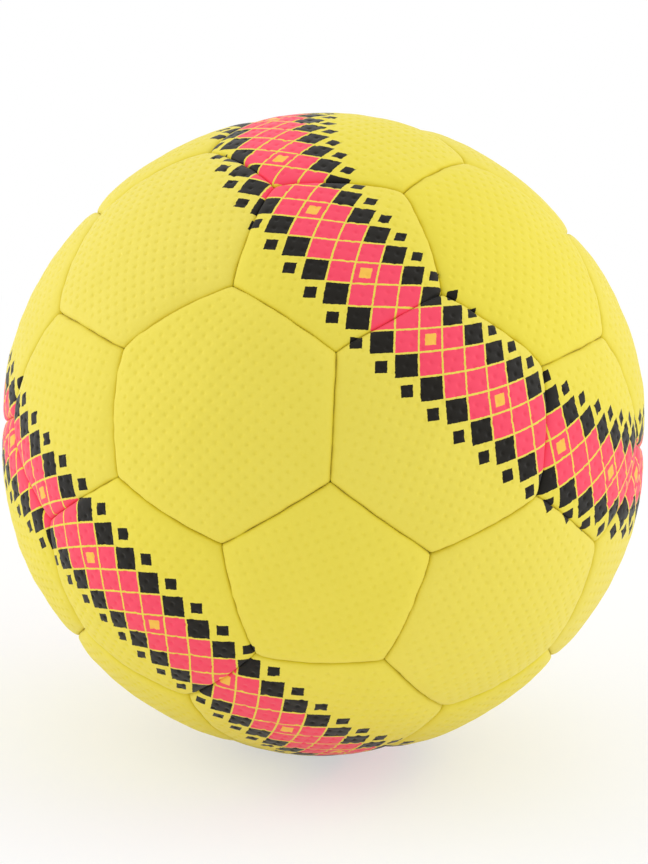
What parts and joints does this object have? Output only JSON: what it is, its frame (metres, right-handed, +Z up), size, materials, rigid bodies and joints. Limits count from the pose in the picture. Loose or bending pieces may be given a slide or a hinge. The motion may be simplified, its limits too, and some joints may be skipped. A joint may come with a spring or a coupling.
{
  "type": "handball",
  "caption": "Hand-stitched handball with dimpled hexagon and pentagon panels over foam, lining and an inflatable bladder, with a needle valve whose core pulls out.",
  "frame": {"origin": "centre of the ball", "axes": "+Z up through the middle of a hexagon panel, a threefold axis of the panel pattern; -Y is the front that the picture shows; the ball rests on the hexagon at -Z"},
  "size_m": [0.1864, 0.1868, 0.188],
  "materials": {
    "skin": "matte dimpled synthetic leather, printed",
    "foam": "closed-cell foam",
    "lining": "woven textile",
    "thread": "waxed thread",
    "bladder": "smooth rubber",
    "valve_rubber": "matte rubber",
    "valve_insert": "matte rubber"
  },
  "bodies": {
    "ball": {"hexagon_panel_01": "skin", "hexagon_panel_02": "skin", "hexagon_panel_03": "skin", "hexagon_panel_04": "skin", "hexagon_panel_05": "skin", "hexagon_panel_06": "skin", "hexagon_panel_07": "skin", "hexagon_panel_08": "skin", "hexagon_panel_09": "skin", "hexagon_panel_10": "skin", "hexagon_panel_11": "skin", "hexagon_panel_12": "skin", "hexagon_panel_13": "skin", "hexagon_panel_14": "skin", "hexagon_panel_15": "skin", "hexagon_panel_16": "skin", "hexagon_panel_17": "skin", "hexagon_panel_18": "skin", "hexagon_panel_19": "skin", "hexagon_panel_20": "skin", "pentagon_panel_01": "skin", "pentagon_panel_02": "skin", "pentagon_panel_03": "skin", "pentagon_panel_04": "skin", "pentagon_panel_05": "skin", "pentagon_panel_06": "skin", "pentagon_panel_07": "skin", "pentagon_panel_08": "skin", "pentagon_panel_09": "skin", "pentagon_panel_10": "skin", "pentagon_panel_11": "skin", "pentagon_panel_12": "skin", "foam_hexagons": "foam", "foam_pentagons": "foam", "lining_hexagons": "lining", "lining_pentagons": "lining", "seam_thread": "thread", "bladder": "bladder", "valve_housing": "valve_rubber"},
    "valve_insert": {"valve_core": "valve_insert"}
  },
  "joints": [
    {"name": "valve_core_pull", "type": "slide", "parent": "ball", "child": "valve_insert", "axis": [-0.5774, 0.7454, 0.3333], "range_m": [0, 0.02]}
  ]
}
